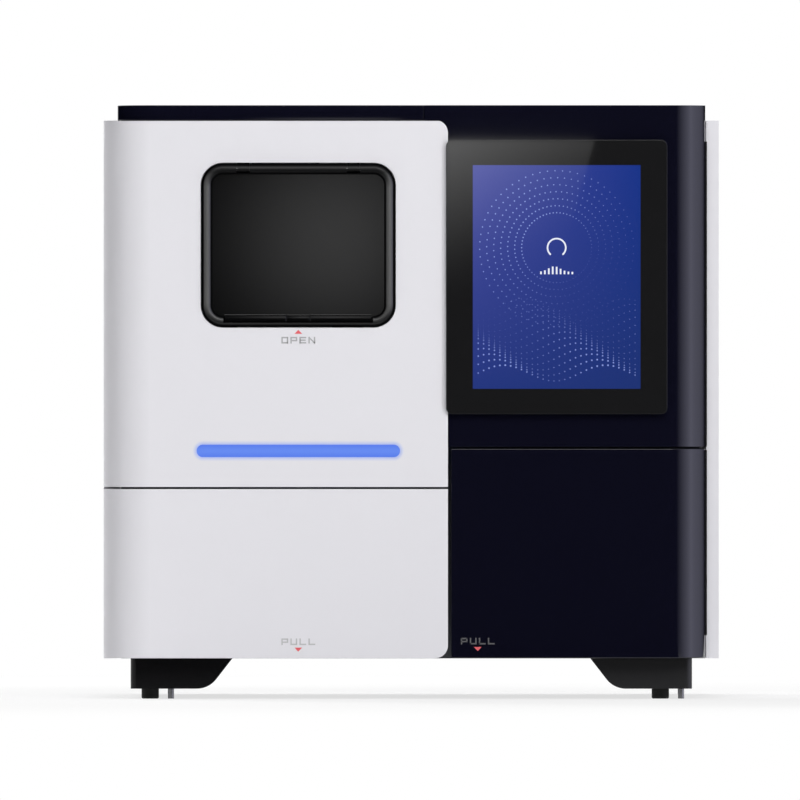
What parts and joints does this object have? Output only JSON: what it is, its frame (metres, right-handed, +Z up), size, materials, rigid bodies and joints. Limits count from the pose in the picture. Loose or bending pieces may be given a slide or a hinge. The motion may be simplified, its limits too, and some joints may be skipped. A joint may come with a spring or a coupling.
{
  "type": "benchtop sequencer",
  "caption": "Benchtop sequencer with a flow cell door, a reagent drawer, a side-hung bottle door, a portrait touch screen and the stage, optics and fluidics behind them.",
  "frame": {"origin": "under the middle of the instrument, on the bench it stands on", "axes": "+X to the right and +Y to the back as the user faces the screen, +Z up"},
  "size_m": [0.581, 0.62, 0.56],
  "materials": {
    "white_paint": "satin",
    "dark_paint": "satin",
    "black_plastic": "fine texture",
    "door_trim": "gloss",
    "smoked_pane": "smoked, gloss",
    "screen_glass": "black border, gloss",
    "display": "lit display",
    "light_blue": "lit from behind",
    "foot_rubber": "matt",
    "bright_steel": "polished",
    "sheet_steel": "satin",
    "frame_grey": "satin",
    "dark_moulding": "fine texture",
    "machined_aluminium": "brushed",
    "rail_steel": "ground",
    "natural_plastic": "satin",
    "bottle_plastic": "translucent satin",
    "cap_plastic": "satin",
    "flow_cell_glass": "clear",
    "circuit_board": "solder mask"
  },
  "bodies": {
    "case": {"base_plate": "sheet_steel", "foot_rails": "black_plastic", "rubber_feet": "foot_rubber", "levelling_studs": "bright_steel", "front_frame": "frame_grey", "rear_panel": "sheet_steel", "rear_spacers": "black_plastic", "inner_walls": "sheet_steel", "bay_shelves": "sheet_steel", "left_side_panel": "white_paint", "right_side_panel": "white_paint", "top_cover": "dark_paint", "upper_left_cover": "white_paint", "upper_right_cover": "dark_paint", "light_bar": "light_blue", "screen_glass": "screen_glass", "screen_panel": "display", "screen_housing": "black_plastic", "hinge_brackets": "frame_grey", "hinge_pins": "bright_steel", "slide_rails_fixed": "rail_steel", "chiller": "machined_aluminium", "waste_bottle": "bottle_plastic", "buffer_bottle": "bottle_plastic", "bottle_caps": "cap_plastic", "bottle_tray": "natural_plastic", "optics_deck": "frame_grey", "stage_rails": "rail_steel", "optics_bridge": "machined_aluminium", "camera": "dark_moulding", "sipper_tower": "machined_aluminium", "syringe_pump": "frame_grey", "main_board": "circuit_board", "power_supply": "machined_aluminium", "fan_housings": "black_plastic", "fan_guards": "bright_steel", "power_inlet": "black_plastic", "data_ports": "black_plastic", "case_screws": "bright_steel"},
    "flow_door": {"flow_door_frame": "door_trim", "flow_door_window": "smoked_pane", "flow_door_grip": "black_plastic"},
    "door_button": {"flow_door_button": "black_plastic"},
    "drawer": {"drawer_front": "white_paint", "drawer_tray": "natural_plastic", "reagent_cartridge": "natural_plastic", "slide_rails_inner": "rail_steel"},
    "slide_middle": {"slide_rails_middle": "rail_steel"},
    "bottle_door": {"bottle_door": "dark_paint", "bottle_door_liner": "dark_moulding"},
    "stage_y": {"stage_y_carriage": "frame_grey"},
    "stage_x": {"stage_x_carriage": "machined_aluminium", "flow_cell": "flow_cell_glass"},
    "cell_clamp": {"flow_cell_clamp": "dark_moulding"},
    "objective": {"objective": "machined_aluminium"},
    "sippers": {"sipper_head": "natural_plastic"},
    "plunger": {"syringe_plunger": "machined_aluminium"},
    "fan_left": {"fan_rotor_left": "black_plastic"},
    "fan_right": {"fan_rotor_right": "black_plastic"},
    "rocker": {"power_switch": "black_plastic"}
  },
  "joints": [
    {"name": "flow_door_hinge", "type": "hinge", "parent": "case", "child": "flow_door", "pos_m": [-0.1066, -0.307, 0.49975], "axis": [-1, 0, 0], "range_deg": [0, 95]},
    {"name": "door_button_press", "type": "slide", "parent": "flow_door", "child": "door_button", "axis": [0, 1, 0], "range_m": [0, 0.002], "stiffness_N_per_m": 600},
    {"name": "drawer_slide", "type": "slide", "parent": "case", "child": "drawer", "axis": [0, -1, 0], "range_m": [0, 0.366]},
    {"name": "slide_middle_run", "type": "slide", "parent": "case", "child": "slide_middle", "axis": [0, -1, 0], "range_m": [0, 0.183]},
    {"name": "bottle_door_hinge", "type": "hinge", "parent": "case", "child": "bottle_door", "pos_m": [0.2695, -0.26, 0.137], "axis": [0, 0, 1], "range_deg": [0, 100]},
    {"name": "stage_y_run", "type": "slide", "parent": "case", "child": "stage_y", "axis": [0, 1, 0], "range_m": [0, 0.19]},
    {"name": "stage_x_run", "type": "slide", "parent": "stage_y", "child": "stage_x", "axis": [1, 0, 0], "range_m": [-0.04, 0.04]},
    {"name": "cell_clamp_hinge", "type": "hinge", "parent": "stage_x", "child": "cell_clamp", "pos_m": [-0.12, -0.121, 0.386], "axis": [-1, 0, 0], "range_deg": [0, 100]},
    {"name": "objective_focus", "type": "slide", "parent": "case", "child": "objective", "axis": [0, 0, -1], "range_m": [0, 0.01]},
    {"name": "sipper_lift", "type": "slide", "parent": "case", "child": "sippers", "axis": [0, 0, -1], "range_m": [0, 0.07]},
    {"name": "syringe_stroke", "type": "slide", "parent": "case", "child": "plunger", "axis": [0, 0, 1], "range_m": [-0.018, 0.026]},
    {"name": "left_fan_spin", "type": "hinge", "parent": "case", "child": "fan_left", "pos_m": [-0.14, 0.283, 0.43], "axis": [0, 1, 0], "continuous": true},
    {"name": "right_fan_spin", "type": "hinge", "parent": "case", "child": "fan_right", "pos_m": [0.15, 0.283, 0.43], "axis": [0, 1, 0], "continuous": true},
    {"name": "power_rocker", "type": "hinge", "parent": "case", "child": "rocker", "pos_m": [0.215, 0.297, 0.108], "axis": [-1, 0, 0], "range_deg": [0, 16]}
  ],
  "couplings": [
    {"joint": "slide_middle_run", "follows": "drawer_slide", "ratio": 0.5}
  ]
}
